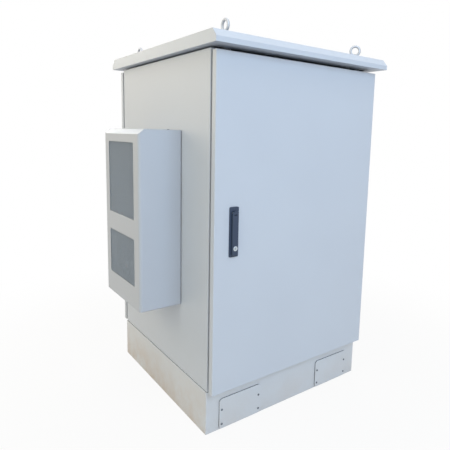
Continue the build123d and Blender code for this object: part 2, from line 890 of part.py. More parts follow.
def make_rack_channels(low, high, opening):
    """Pair of channels across the body's depth that the rack rails stand between."""
    solids = []
    reach = frame_back - channel_end_gap
    inner = rack_half_opening + channel_offset
    for side in (-1, 1):
        channel = block(side * inner, side * (inner + channel_width), -reach, reach, low, high)
        near = side * (inner + sheet)
        far = side * (inner + channel_width - sheet)
        floor = low - cut_overrun if opening < 0 else low + sheet
        roof = high - sheet if opening < 0 else high + cut_overrun
        end = reach + cut_overrun
        solids.append(channel - block(near, far, -end, end, floor, roof))
    return group(solids)


def make_rack_rails(facing, step):
    """Pair of upright rack rails with square holes in the middle of every unit or every few units."""
    solids = []
    low = floor_top + channel_height
    high = ceiling - channel_height
    first = (low + high - rack_units * rack_unit) / 2
    face = facing * rack_front_y
    outer = rack_half_opening + rack_flange
    half = rack_hole / 2
    for side in (-1, 1):
        rail = block(side * rack_half_opening, side * outer, face, face - facing * sheet, low, high)
        rail += block(side * (outer - sheet), side * outer, face, face - facing * rack_web, low, high)
        x = side * rack_hole_x
        heights = [first + (unit + 1 / 2) * rack_unit for unit in range(0, rack_units, step)]
        near = face + facing * cut_overrun
        far = face - facing * cut_overrun
        rail -= [block(x - half, x + half, near, far, z - half, z + half) for z in heights]
        solids.append(rail)
    return group(solids)


def make_gland_plate():
    """Blank plate over the cable entry, to be drilled when cables are drawn in."""
    reach_x = entry_width / 2 + gland_margin
    reach_y = entry_depth / 2 + gland_margin
    high = floor_top + sheet
    return block(-reach_x, reach_x, entry_y - reach_y, entry_y + reach_y, floor_top, high)


def gland_bolts():
    """Bolt heads at the corners of the cable entry plate."""
    reach_x = entry_width / 2 + gland_margin / 2
    reach_y = entry_depth / 2 + gland_margin / 2
    places = [(sx * reach_x, entry_y + sy * reach_y) for sx in (-1, 1) for sy in (-1, 1)]
    return [Pos(x, y, floor_top + sheet) * hexagon(bolt_flats, bolt_head_height) for x, y in places]


def earth_heights():
    """Lower and upper edge of the earth bar."""
    low = floor_top + earth_rise
    return low, low + earth_width


def make_earth_bar():
    """Copper bar on the right side panel with its clamp bolts."""
    low, high = earth_heights()
    face = web_inside - earth_stand
    half = earth_length / 2
    bar = block(face - earth_thick, face, -half, half, low, high)
    z = (low + high) / 2
    for share in (-earth_bolt_share, 0, earth_bolt_share):
        place = Pos(face - earth_thick, share * earth_length, z) * Rot(0, -quarter_turn, 0)
        bar += place * hexagon(bolt_flats, bolt_head_height)
    return bar


def make_earth_stands():
    """Hexagonal insulators between the earth bar and the side panel."""
    low, high = earth_heights()
    z = (low + high) / 2
    reach = earth_stand_share * earth_length / 2
    stand = Rot(0, quarter_turn, 0) * hexagon(earth_stand_flats, earth_stand)
    return group(Pos(web_inside - earth_stand, y, z) * stand for y in (-reach, reach))


def ac_profile(inset):
    """Side shape of the cooling unit's housing, drawn in by a skin thickness."""
    face = ac_face + inset
    top = ac_top_z - inset
    low = ac_base_z + inset
    back = ac_back + (cut_overrun if inset else 0)
    corner = [(face, top - ac_slope_drop), (face + ac_slope_run, top)]
    return Polygon(*([(back, low), (face, low)] + corner + [(back, top)]), align=None)


def ac_hull(inset, radius):
    """Solid of the housing's side shape with rounded upright edges."""
    middle = Pos(0, ac_centre_y, 0)
    hull = middle * extrude(Plane.XZ * ac_profile(inset), amount=ac_width / 2 - inset, both=True)
    uprights = hull.edges().filter_by(Axis.Z).sort_by(Axis.X)[:2]
    return fillet(uprights, radius)


def make_ac_housing():
    """Removable cover of the cooling unit with two grille windows."""
    shell = ac_hull(0, ac_corner) - ac_hull(sheet, ac_corner - sheet)
    for rise, height in (grille_upper, grille_lower):
        low = ac_base_z + rise
        reach = grille_width / 2
        front = ac_face - cut_overrun
        back = ac_inside + cut_overrun
        hole = block(front, back, ac_centre_y - reach, ac_centre_y + reach, low, low + height)
        shell -= fillet(hole.edges().filter_by(Axis.X), grille_corner)
    return shell


def housing_screws():
    """Screw heads on the housing's top and bottom."""
    solids = []
    x = ac_back - ac_flange / 2
    reach = ac_width / 2 - ac_screw_inset
    for y in (ac_centre_y - reach, ac_centre_y + reach):
        for seat in (ac_top_z, ac_base_z - screw_head_height):
            solids.append(Pos(x, y, seat) * stud(screw_head_radius, screw_head_height))
    return solids


def make_ac_chassis():
    """Back plate of the cooling unit with a floor shelf and a top flange."""
    inset = sheet + ac_fit
    front_y = ac_front_y + inset
    rear_y = ac_rear_y - inset
    low = ac_base_z + inset
    high = ac_top_z - inset
    plate = block(chassis_face, ac_back, front_y, rear_y, low, high)
    shelf_edge = ac_inside + ac_shelf_end
    plate += block(shelf_edge, chassis_face, front_y + ac_corner, rear_y - ac_corner, low, shelf_top)
    plate += block(chassis_face - ac_flange, chassis_face, front_y, rear_y, high - sheet, high)
    return plate - [air_window(rise) for rise in (window_lower, window_upper)]


def ac_bolt_points():
    """Bolts of the cooling unit, seen from its side."""
    reach = ac_width / 2 - ac_bolt_inset
    step = (ac_height - 2 * ac_bolt_inset) / (ac_bolt_rows - 1)
    heights = [ac_base_z + ac_bolt_inset + n * step for n in range(ac_bolt_rows)]
    return [(ac_centre_y + side * reach, z) for side in (-1, 1) for z in heights]


def ac_bolts():
    """Bolt heads of the cooling unit, inside the cabinet."""
    head = Rot(0, quarter_turn, 0) * hexagon(bolt_flats, bolt_head_height)
    return [Pos(-web_inside, y, z) * head for y, z in ac_bolt_points()]


def make_ac_gasket():
    """Foam frame between the side panel and the cooling unit."""
    edge = ac_gasket_inset
    front_y = ac_front_y + edge
    rear_y = ac_rear_y - edge
    low = ac_base_z + edge
    high = ac_top_z - edge
    skin = -half_width - ac_gasket_squeeze
    seat = ac_back + ac_gasket_squeeze
    band = ac_gasket_band
    frame = block(seat, skin, front_y, rear_y, low, high)
    start = seat - cut_overrun
    end = skin + cut_overrun
    return frame - block(start, end, front_y + band, rear_y - band, low + band, high - band)


def air_window(rise):
    """Air window through the side panel and the chassis."""
    reach = window_width / 2
    low = ac_base_z + rise
    start = chassis_face - cut_overrun
    end = -web_inside + cut_overrun
    return block(start, end, ac_centre_y - reach, ac_centre_y + reach, low, low + window_height)


def make_air_grilles():
    """Slotted plates over the air windows, inside the cabinet."""
    solids = []
    reach = window_width / 2 + window_rim
    slot_reach = window_width / 2 - window_rim
    pitch = window_height / window_slots
    half = pitch * window_slot_share / 2
    for rise in (window_lower, window_upper):
        low = ac_base_z + rise
        high = low + window_height + window_rim
        inner = -web_inside + sheet
        front_y = ac_centre_y - reach
        plate = block(-web_inside, inner, front_y, ac_centre_y + reach, low - window_rim, high)
        for n in range(window_slots):
            z = low + (n + 1 / 2) * pitch
            end = inner + cut_overrun
            side = ac_centre_y + slot_reach
            plate -= block(-half_width, end, ac_centre_y - slot_reach, side, z - half, z + half)
        solids.append(plate)
    return group(solids)


def make_grille(window):
    """Grille plate behind a housing window, with rows of narrow slots."""
    rise, height = window
    low = ac_base_z + rise
    reach = grille_width / 2
    wide = reach + grille_band
    front_y = ac_centre_y - wide
    top = low + height + grille_band
    plate = block(ac_inside, grille_back, front_y, ac_centre_y + wide, low - grille_band, top)
    rows = int((height - grille_bar) / grille_pitch)
    first = low + (height - (rows - 1) * grille_pitch) / 2
    half = (grille_pitch - grille_bar) / 2
    start = ac_centre_y - reach + grille_post
    end = ac_centre_y + reach - grille_post
    front = ac_inside - cut_overrun
    back = grille_back + cut_overrun
    heights = [first + n * grille_pitch for n in range(rows)]
    return plate - [block(front, back, start, end, z - half, z + half) for z in heights]


def make_partition():
    """Upright sheet that parts the outside air from the cabinet air."""
    front_y = ac_front_y + sheet + ac_fit
    rear_y = ac_rear_y - sheet - ac_fit
    high = ac_top_z - sheet - ac_fit
    return block(partition_face, partition_back, front_y, rear_y, shelf_top, high)


def make_coil(front, back, seat_front, seat_back, half_length, low, high):
    """Finned coil between two tube plates that reach its seats."""
    start = ac_centre_y - half_length
    end = ac_centre_y + half_length
    coil = block(front, back, start, end, low, high)
    pitch = (high - low) / coil_fins
    half = pitch * coil_fin_share / 2
    grooves = []
    for n in range(coil_fins):
        z = low + (n + 1 / 2) * pitch
        grooves.append(block(front - cut_overrun, front + coil_fin_depth, start, end, z - half, z + half))
    coil -= grooves
    for y, out in ((start, -1), (end, 1)):
        coil += block(seat_front, seat_back, y, y + out * coil_plate, low, high)
    return coil


def make_condenser():
    """Coil in the outside air behind the upper grille."""
    front = grille_back + coil_front_gap
    low = ac_base_z + grille_upper[0] + coil_margin
    high = low + grille_upper[1] - 2 * coil_margin
    half_length = grille_width / 2 - coil_margin
    return make_coil(front, front + coil_depth, front, partition_face, half_length, low, high)


def make_evaporator():
    """Coil in the cabinet air behind the partition."""
    front = partition_back + evaporator_gap
    low = ac_base_z + evaporator_rise
    high = low + evaporator_height
    half_length = evaporator_width / 2
    return make_coil(front, front + coil_depth, partition_back, chassis_face, half_length, low, high)


def make_rotor(front, z, radius):
    """Axial fan wheel on the X axis with flat pitched blades."""
    wheel = Cylinder(fan_hub_radius, fan_depth)
    root = fan_hub_radius - fan_blade
    middle = (root + radius) / 2
    blade = Pos(middle, 0, 0) * Rot(fan_pitch, 0, 0) * Box(radius - root, fan_chord, fan_blade)
    for n in range(fan_blades):
        wheel += Rot(0, 0, n * full_turn / fan_blades) * blade
    wheel -= Cylinder(fan_bore + fan_fit, fan_depth + cut_overrun)
    return Pos(front + fan_depth / 2, ac_centre_y, z) * Rot(0, quarter_turn, 0) * wheel


def make_fan_rotor():
    """Condenser fan wheel behind the lower grille."""
    return make_rotor(grille_back + fan_front_gap, lower_grille_z, fan_radius)


def make_fan_motor():
    """Condenser fan motor on the partition with its shaft."""
    rotor_front = grille_back + fan_front_gap
    nose = rotor_front + fan_depth + fan_motor_gap
    motor = bar_x(nose, partition_face, ac_centre_y, lower_grille_z, motor_radius)
    return motor + bar_x(rotor_front, nose, ac_centre_y, lower_grille_z, fan_bore)


def make_shroud():
    """Fan ring on four posts that stand on the partition."""
    half = fan_radius + shroud_margin
    plate_x = grille_back + shroud_front_gap
    z = lower_grille_z
    plate_back = plate_x + shroud_sheet
    plate = block(plate_x, plate_back, ac_centre_y - half, ac_centre_y + half, z - half, z + half)
    plate += bar_x(plate_x, plate_x + shroud_ring_depth, ac_centre_y, z, half - shroud_sheet)
    plate -= bar_x(plate_x - cut_overrun, partition_face, ac_centre_y, z, fan_radius + fan_tip_clearance)
    inner = half - shroud_post
    for side in (-1, 1):
        y = ac_centre_y + side * inner
        for up in (-1, 1):
            foot = z + up * inner
            plate += block(plate_x, partition_face, y, y + side * shroud_post, foot, foot + up * shroud_post)
    return plate


def blower_front():
    """Outer face of the cabinet air fan wheel."""
    return chassis_face - blower_front_gap - fan_depth


def blower_z():
    """Height of the cabinet air fan, behind the lower air window."""
    return ac_base_z + window_lower + window_height / 2


def make_blower_rotor():
    """Cabinet air fan wheel."""
    return make_rotor(blower_front(), blower_z(), blower_radius)


def make_blower_motor():
    """Cabinet air fan motor on the partition's inner face."""
    nose = blower_front() - fan_motor_gap
    motor = bar_x(partition_back, nose, ac_centre_y, blower_z(), motor_radius)
    return motor + bar_x(nose, blower_front() + fan_depth, ac_centre_y, blower_z(), fan_bore)


def compressor_place():
    """Compressor centre on the chassis shelf."""
    return (grille_back + partition_face) / 2, ac_centre_y + compressor_offset


def make_compressor():
    """Compressor can with a bevelled top on a foot plate."""
    x, y = compressor_place()
    foot_top = shelf_top + compressor_foot_height
    top = shelf_top + compressor_height
    can = bar_z(x, y, foot_top, top, compressor_radius)
    can = chamfer(can.edges().sort_by(Axis.Z)[-1], compressor_crown)
    return can + block(x - compressor_radius, x + compressor_radius, y - compressor_foot, y + compressor_foot,
                       shelf_top, foot_top)


def make_pipes():
    """Two copper pipes from the compressor up to the condenser's end plate."""
    x, y = compressor_place()
    top = shelf_top + compressor_height
    side = ac_centre_y + grille_width / 2 + pipe_side_gap
    low = ac_base_z + grille_upper[0]
    plate_y = ac_centre_y + grille_width / 2 - coil_margin + coil_plate
    solids = []
    for n in (-1, 1):
        line_x = x + n * pipe_spacing / 2
        rise = low + (2 + n) * pipe_spacing
        level = top + (2 + n) * pipe_rise
        points = [(line_x, y, top), (line_x, y, level), (line_x, side, level),
                  (line_x, side, rise), (line_x, plate_y, rise)]
        profile = Plane(origin=points[0], z_dir=(0, 0, 1)) * RegularPolygon(pipe_radius, pipe_sides)
        solids.append(sweep(profile, path=Polyline(*points), transition=Transition.RIGHT))
    return group(solids)


parts = {
    "plinth": make_plinth(),
    "plinth_seal": make_plinth_seal(),
    "cover_gaskets": make_cover_gaskets(),
    "plinth_cover_left": make_plinth_cover(-1),
    "plinth_cover_right": make_plinth_cover(1),
    "cover_screws": group(plinth_screws() + housing_screws()),
    "body_bolts": group(plinth_bolts() + ac_bolts() + rear_cover_bolts() + gland_bolts()),
    "base_panel": make_base_panel(),
    "top_panel": make_top_panel(),
    "side_panel_left": make_left_panel(),
    "side_panel_right": make_side_panel(1),
    "front_frame": make_front_frame(),
    "rear_frame": mirrored(make_front_frame()),
    "front_door": make_front_door(),
    "door_gasket": make_gasket(),
    "door_stiffeners": make_stiffeners(),
    "hinge_pins": make_hinge_pins(),
    "hinge_frame_leaves": make_frame_leaves(),
    "hinge_door_leaves": make_door_leaves(),
    "handle_base": make_handle_base(),
    "handle_spindle": make_spindle(),
    "handle_pin": make_handle_pin(),
    "swing_handle": make_handle(),
    "lock_cylinder": make_lock_cylinder(),
    "key_plug": make_key_plug(),
    "lock_cam": make_cam(),
    "upper_rod": make_rod(1),
    "lower_rod": make_rod(-1),
    "rod_guides": make_rod_guides(),
    "rod_keepers": make_keepers(),
    "rear_cover": mirrored(make_pan()),
    "rear_gasket": mirrored(make_gasket()),
    "rear_cover_spacers": make_rear_spacers(),
    "roof": make_roof(),
    "roof_posts": make_roof_posts(),
    "lifting_eyes": make_lifting_eyes(),
    "rack_floor_channels": make_rack_channels(floor_top, floor_top + channel_height, -1),
    "rack_ceiling_channels": make_rack_channels(ceiling - channel_height, ceiling, 1),
    "rack_rails_front": make_rack_rails(-1, 1),
    "rack_rails_rear": make_rack_rails(1, rear_hole_unit_count),
    "gland_plate": make_gland_plate(),
    "earth_bar": make_earth_bar(),
    "earth_stands": make_earth_stands(),
    "ac_gasket": make_ac_gasket(),
    "ac_chassis": make_ac_chassis(),
    "ac_housing": make_ac_housing(),
    "ac_grille_upper": make_grille(grille_upper),
    "ac_grille_lower": make_grille(grille_lower),
    "ac_air_grilles": make_air_grilles(),
    "ac_partition": make_partition(),
    "ac_condenser": make_condenser(),
    "ac_evaporator": make_evaporator(),
    "ac_fan_rotor": make_fan_rotor(),
    "ac_fan_motor": make_fan_motor(),
    "ac_fan_shroud": make_shroud(),
    "ac_blower_rotor": make_blower_rotor(),
    "ac_blower_motor": make_blower_motor(),
    "ac_compressor": make_compressor(),
    "ac_pipes": make_pipes(),
}

for name, shape in parts.items():
    export_step(shape, f"parts/{name}.step")
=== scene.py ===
"""Finishes and fine pieces of an outdoor equipment cabinet: mesh, coils, rails, seals, eyes, screws."""
from math import cos, pi, radians, sin

import bmesh
import bpy
from mathutils import Matrix, Vector


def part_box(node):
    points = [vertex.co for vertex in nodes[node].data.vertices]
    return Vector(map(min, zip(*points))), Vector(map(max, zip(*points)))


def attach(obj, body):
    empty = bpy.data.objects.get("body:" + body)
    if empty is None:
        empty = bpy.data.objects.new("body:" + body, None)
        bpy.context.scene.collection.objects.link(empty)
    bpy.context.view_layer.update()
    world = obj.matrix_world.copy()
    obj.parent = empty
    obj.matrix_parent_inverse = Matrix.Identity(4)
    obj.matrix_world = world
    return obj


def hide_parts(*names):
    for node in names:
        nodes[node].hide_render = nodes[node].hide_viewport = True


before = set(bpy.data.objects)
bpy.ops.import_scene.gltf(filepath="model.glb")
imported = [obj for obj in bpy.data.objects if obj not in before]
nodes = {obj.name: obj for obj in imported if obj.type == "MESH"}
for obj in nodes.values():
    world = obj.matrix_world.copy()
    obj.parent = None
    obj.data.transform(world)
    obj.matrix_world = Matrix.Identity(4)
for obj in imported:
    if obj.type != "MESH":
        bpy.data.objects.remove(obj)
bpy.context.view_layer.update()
scene = bpy.context.scene
MM = 0.001


# Materials

# Widths of what the finishes show, the depth of their skin and a moulded edge, in millimetres
CLOUD, SPLASH, CRYSTAL, DULL_PATCH = 420, 130, 9, 18
PEBBLE, METAL_GRAIN = 5, 2  # drawn wider than the real ones, 1 mm and less, so that they show
SKIN_DEPTH, MOULD_EDGE = 0.2, 0.6
SPREAD_SHARE = 0.2  # by how much of itself a metal's roughness varies
SHARE, UNDER, OVER, MIXED = 0, 6, 7, 2  # colour sockets of a Mix node


def linear(hex_colour):
    """sRGB hex value as a linear colour."""
    levels = [int(hex_colour[n:n + 2], 16) / 255 for n in (1, 3, 5)]
    return [v / 12.92 if v <= 0.04045 else ((v + 0.055) / 1.055) ** 2.4 for v in levels] + [1.0]


def per_mm(size):
    """Pattern scale at which one cell is this many millimetres."""
    return 1 / (size * MM)


def add(tree, kind, sockets=None, **settings):
    """Add a node with its settings, and fill or link its sockets."""
    node = tree.nodes.new(kind)
    for name, value in settings.items():
        setattr(node, name, value)
    for name, value in (sockets or {}).items():
        if isinstance(value, bpy.types.NodeSocket):
            tree.links.new(value, node.inputs[name])
        else:
            node.inputs[name].default_value = value
    return node


def blank(name):
    """Material with an empty node tree."""
    made = bpy.data.materials.new(name)
    made.use_nodes = True
    made.node_tree.nodes.clear()
    return made, made.node_tree


def powder_coat(name, pale, deep, warm_patch=None, warm_patch_top=0.0, underside_shade=None, bend=1.2):
    """Polyester powder baked on sheet steel."""
    # A satin skin with a faint pebble, cloudy by a shade from sheet to sheet and soft at every fold.
    made, tree = blank(name)
    place = add(tree, "ShaderNodeTexCoord").outputs["Object"]
    cloud = add(tree, "ShaderNodeTexNoise", {"Vector": place, "Scale": per_mm(CLOUD), "Detail": 2.0})
    colour = add(tree, "ShaderNodeMix", {SHARE: cloud.outputs["Fac"], UNDER: linear(deep),
                                         OVER: linear(pale)}, data_type="RGBA").outputs[MIXED]
    if warm_patch or underside_shade:
        normal = add(tree, "ShaderNodeNewGeometry").outputs["Normal"]
        facing = add(tree, "ShaderNodeSeparateXYZ", {0: normal})
    if warm_patch:
        # Warm beige patches that thin out with height and are strongest on the faces towards -X.
        height = add(tree, "ShaderNodeSeparateXYZ", {0: place}).outputs["Z"]
        fade = add(tree, "ShaderNodeMapRange", {"Value": height, "From Min": 0.0, "From Max": warm_patch_top * MM,
                                                "To Min": 1.0, "To Max": 0.0})
        patch = add(tree, "ShaderNodeTexNoise", {"Vector": place, "Scale": per_mm(SPLASH), "Detail": 5.0,
                                                 "Roughness": 0.6})
        spots = add(tree, "ShaderNodeMapRange", {"Value": patch.outputs["Fac"], "From Min": 0.34,
                                                 "From Max": 0.66, "To Min": 0.0, "To Max": 0.9})
        toward_minus_x = add(tree, "ShaderNodeMapRange", {"Value": facing.outputs["X"], "From Min": 0.0,
                                                "From Max": -0.9, "To Min": 0.3, "To Max": 1.0})
        lower = add(tree, "ShaderNodeMath", {0: fade.outputs[0], 1: spots.outputs[0]}, operation="MULTIPLY")
        cover = add(tree, "ShaderNodeMath", {0: lower.outputs[0], 1: toward_minus_x.outputs[0]}, operation="MULTIPLY")
        colour = add(tree, "ShaderNodeMix", {SHARE: cover.outputs[0], UNDER: colour, OVER: linear(warm_patch)},
                     data_type="RGBA").outputs[MIXED]
    if underside_shade:
        # Painted shade: faces that look down turn a darker grey, as where little light reaches from below.
        shade_below = add(tree, "ShaderNodeMapRange", {"Value": facing.outputs["Z"], "From Min": -0.5,
                                                "From Max": -0.95, "To Min": 0.0, "To Max": 1.0})
        colour = add(tree, "ShaderNodeMix", {SHARE: shade_below.outputs[0], UNDER: colour, OVER: linear(underside_shade)},
                     data_type="RGBA").outputs[MIXED]
    pebble = add(tree, "ShaderNodeTexNoise", {"Vector": place, "Scale": per_mm(PEBBLE), "Detail": 1.0})
    gloss = add(tree, "ShaderNodeMapRange", {"Value": cloud.outputs["Fac"], "To Min": 0.38, "To Max": 0.5})
    fold = add(tree, "ShaderNodeBevel", {"Radius": bend * MM}, samples=8)
    bump = add(tree, "ShaderNodeBump", {"Height": pebble.outputs["Fac"], "Normal": fold.outputs[0],
                                        "Strength": 0.12, "Distance": SKIN_DEPTH * MM})
    shader = add(tree, "ShaderNodeBsdfPrincipled", {"Base Color": colour, "Roughness": gloss.outputs[0],
                                                    "Normal": bump.outputs[0], "IOR": 1.5,
                                                    "Specular IOR Level": 0.45})
    add(tree, "ShaderNodeOutputMaterial", {"Surface": shader.outputs["BSDF"]})
    return made


def galvanised(name, pale, deep):
    """Hot-dip galvanised sheet."""
    # Frosted crystals about 9 mm across that catch the light each in its own way.
    made, tree = blank(name)
    place = add(tree, "ShaderNodeTexCoord").outputs["Object"]
    crystal = add(tree, "ShaderNodeTexVoronoi", {"Vector": place, "Scale": per_mm(CRYSTAL)})
    tone = add(tree, "ShaderNodeRGBToBW", {0: crystal.outputs["Color"]}).outputs[0]
    colour = add(tree, "ShaderNodeMix", {SHARE: tone, UNDER: linear(deep), OVER: linear(pale)},
                 data_type="RGBA").outputs[MIXED]
    rough = add(tree, "ShaderNodeMapRange", {"Value": tone, "To Min": 0.34, "To Max": 0.52})
    shader = add(tree, "ShaderNodeBsdfPrincipled", {"Base Color": colour, "Metallic": 1.0,
                                                    "Roughness": rough.outputs[0]})
    add(tree, "ShaderNodeOutputMaterial", {"Surface": shader.outputs["BSDF"]})
    return made


def plated(name, pale, deep, roughness, grain):
    """Zinc, chrome or bare metal skin over a machined or forged piece."""
    # A close metallic sheen, a little duller in patches, with the grain of the blank under it.
    made, tree = blank(name)
    place = add(tree, "ShaderNodeTexCoord").outputs["Object"]
    patch = add(tree, "ShaderNodeTexNoise", {"Vector": place, "Scale": per_mm(DULL_PATCH), "Detail": 3.0})
    colour = add(tree, "ShaderNodeMix", {SHARE: patch.outputs["Fac"], UNDER: linear(deep),
                                         OVER: linear(pale)}, data_type="RGBA").outputs[MIXED]
    rough = add(tree, "ShaderNodeMapRange", {"Value": patch.outputs["Fac"],
                                             "To Min": roughness * (1 - SPREAD_SHARE),
                                             "To Max": roughness * (1 + SPREAD_SHARE)})
    skin = add(tree, "ShaderNodeTexNoise", {"Vector": place, "Scale": per_mm(METAL_GRAIN), "Detail": 2.0})
    bump = add(tree, "ShaderNodeBump", {"Height": skin.outputs["Fac"], "Strength": grain,
                                        "Distance": SKIN_DEPTH * MM})
    shader = add(tree, "ShaderNodeBsdfPrincipled", {"Base Color": colour, "Metallic": 1.0,
                                                    "Roughness": rough.outputs[0],
                                                    "Normal": bump.outputs[0]})
    add(tree, "ShaderNodeOutputMaterial", {"Surface": shader.outputs["BSDF"]})
    return made


def moulded(name, pale, deep, roughness, cell, depth):
    """Moulded plastic, foam rubber or enamel."""
    # One even tone with a fine skin, whose cells are drawn a little wider than real so that they show.
    made, tree = blank(name)
    place = add(tree, "ShaderNodeTexCoord").outputs["Object"]
    skin = add(tree, "ShaderNodeTexNoise", {"Vector": place, "Scale": per_mm(cell), "Detail": 3.0})
    colour = add(tree, "ShaderNodeMix", {SHARE: skin.outputs["Fac"], UNDER: linear(deep),
                                         OVER: linear(pale)}, data_type="RGBA").outputs[MIXED]
    edge = add(tree, "ShaderNodeBevel", {"Radius": MOULD_EDGE * MM}, samples=4)
    bump = add(tree, "ShaderNodeBump", {"Height": skin.outputs["Fac"], "Normal": edge.outputs[0],
                                        "Strength": 0.3, "Distance": depth * MM})
    shader = add(tree, "ShaderNodeBsdfPrincipled", {"Base Color": colour, "Roughness": roughness,
                                                    "Normal": bump.outputs[0], "IOR": 1.5})
    add(tree, "ShaderNodeOutputMaterial", {"Surface": shader.outputs["BSDF"]})
    return made


body_coat = powder_coat("light_grey_powder_coat", "#ced3d9", "#c7ccd3")
plinth_coat = powder_coat("light_grey_powder_coat_warm_patched", "#d9dbdc", "#d2d4d6", warm_patch="#c8b8a8",
                          warm_patch_top=190)
# The roof's faces that look down get a darker grey: painted shade.
roof_coat = powder_coat("light_grey_powder_coat_shaded_below", "#ced3d9", "#c7ccd3", underside_shade="#b2b8c2")
unit_coat = powder_coat("light_grey_powder_coat_unit", "#c0c4ca", "#b8bcc2", bend=6.0)
galvanised_sheet = galvanised("galvanised_steel_sheet", "#c4c8cb", "#a3a9ae")
zinc_plate = plated("zinc_plated_steel", "#c6c8ca", "#b2b1a8", roughness=0.36, grain=0.15)
forged_zinc = plated("zinc_plated_forging", "#c8cacd", "#b2b4b8", roughness=0.62, grain=0.35)
chrome = plated("chrome_plated_brass", "#c6d0d8", "#b4bfc8", roughness=0.22, grain=0.05)
copper = plated("bare_copper_bar", "#c98a62", "#a8663f", roughness=0.34, grain=0.15)
# Darker than stainless steel is: painted shade on the small screw heads.
shade_darkened_screw_steel = plated("stainless_steel_darkened_as_shade", "#7f848b", "#5f646c", roughness=0.5, grain=0.15)
# Zinc weathered dull grey and set darker still: painted shade in the narrow gaps where these posts and
# spacers stand.
weathered_and_shaded_zinc = plated("weathered_and_shaded_zinc", "#7c8288", "#676d74", roughness=0.55, grain=0.3)
fin_aluminium = plated("mill_finish_aluminium", "#c9ccd0", "#b4b8bd", roughness=0.4, grain=0.2)
handle_coat = moulded("black_coated_zinc_casting", "#344258", "#2a374b", roughness=0.5,
                      cell=1.6, depth=0.08)
foam_rubber = moulded("foamed_rubber_seal", "#2c2d2f", "#1b1c1d", roughness=0.92, cell=1.2, depth=0.25)
grey_foam = moulded("grey_foam_tape", "#74787d", "#63676c", roughness=0.9, cell=1.2, depth=0.25)
black_nylon = moulded("black_nylon", "#2e2f31", "#242527", roughness=0.5, cell=2.0, depth=0.05)
fan_plastic = moulded("glass_filled_black_plastic", "#2d2e31", "#222326", roughness=0.55,
                      cell=2.4, depth=0.06)
black_enamel = moulded("black_stove_enamel", "#26272a", "#1c1d1f", roughness=0.3, cell=6.0, depth=0.05)
mesh_coat = moulded("grey_coated_wire", "#b8c4d2", "#adb9c7", roughness=0.5, cell=3.0, depth=0.05)

finishes = {
    body_coat: ("front_door", "rear_cover", "side_panel_left", "side_panel_right", "base_panel",
                "top_panel", "front_frame", "rear_frame", "door_stiffeners"),
    plinth_coat: ("plinth", "plinth_cover_left", "plinth_cover_right"),
    roof_coat: ("roof",),
    unit_coat: ("ac_housing",),
    galvanised_sheet: ("rack_rails_front", "rack_rails_rear", "rack_floor_channels", "rack_ceiling_channels",
                       "gland_plate", "ac_chassis", "ac_partition", "ac_air_grilles", "hinge_frame_leaves",
                       "hinge_door_leaves", "rod_keepers"),
    zinc_plate: ("hinge_pins", "cover_screws", "body_bolts", "upper_rod", "lower_rod", "lock_cam",
                 "handle_pin"),
    forged_zinc: ("lifting_eyes",),
    weathered_and_shaded_zinc: ("roof_posts", "rear_cover_spacers"),
    handle_coat: ("swing_handle", "handle_base", "handle_spindle"),
    chrome: ("lock_cylinder", "key_plug"),
    foam_rubber: ("door_gasket", "rear_gasket", "plinth_seal", "cover_gaskets"),
    grey_foam: ("ac_gasket",),
    mesh_coat: ("ac_grille_upper", "ac_grille_lower"),
    black_nylon: ("rod_guides", "earth_stands"),
    copper: ("earth_bar", "ac_pipes"),
    fin_aluminium: ("ac_condenser", "ac_evaporator"),
    fan_plastic: ("ac_fan_rotor", "ac_blower_rotor", "ac_fan_shroud"),
    black_enamel: ("ac_fan_motor", "ac_blower_motor", "ac_compressor"),
}
for finish, members in finishes.items():
    for name in members:
        nodes[name].data.materials.clear()
        nodes[name].data.materials.append(finish)


# Shapes

CRISP = 32  # degrees, from which an edge stays sharp


def turned(form, place, profile, steps=36):
    """Add a turned shape: radius, height and perhaps a count of flats, in millimetres up the place's Z."""
    rings = []
    for radius, height, *flats in profile:
        ring = []
        for n in range(steps):
            angle = 2 * pi * n / steps
            reach = radius
            if flats:
                sector = 2 * pi / flats[0]
                reach = radius / cos(angle % sector - sector / 2)
            spot = Vector((reach * cos(angle), reach * sin(angle), height)) * MM
            ring.append(form.verts.new(place @ spot))
        rings.append(ring)
    for low, high in zip(rings, rings[1:]):
        for n in range(steps):
            m = (n + 1) % steps
            form.faces.new((low[n], low[m], high[m], high[n]))
    form.faces.new(list(reversed(rings[0])))
    form.faces.new(rings[-1])


def ring_bar(form, place, radius, thickness, steps=64, sides=20):
    """Add a closed round ring about the place's Z."""
    loops = []
    for n in range(steps):
        around = 2 * pi * n / steps
        loop = []
        for m in range(sides):
            across = 2 * pi * m / sides
            reach = radius + thickness * cos(across)
            spot = Vector((reach * cos(around), reach * sin(around), thickness * sin(across))) * MM
            loop.append(form.verts.new(place @ spot))
        loops.append(loop)
    for n in range(steps):
        here, there = loops[n], loops[(n + 1) % steps]
        for m in range(sides):
            k = (m + 1) % sides
            form.faces.new((here[m], there[m], there[k], here[k]))


def wire(form, start, end, radius, sides=6):
    """Add a straight wire between two points in metres."""
    along = end - start
    place = Matrix.Translation(start) @ along.to_track_quat("Z", "Y").to_matrix().to_4x4()
    turned(form, place, ((radius, 0.0), (radius, along.length / MM)), sides)


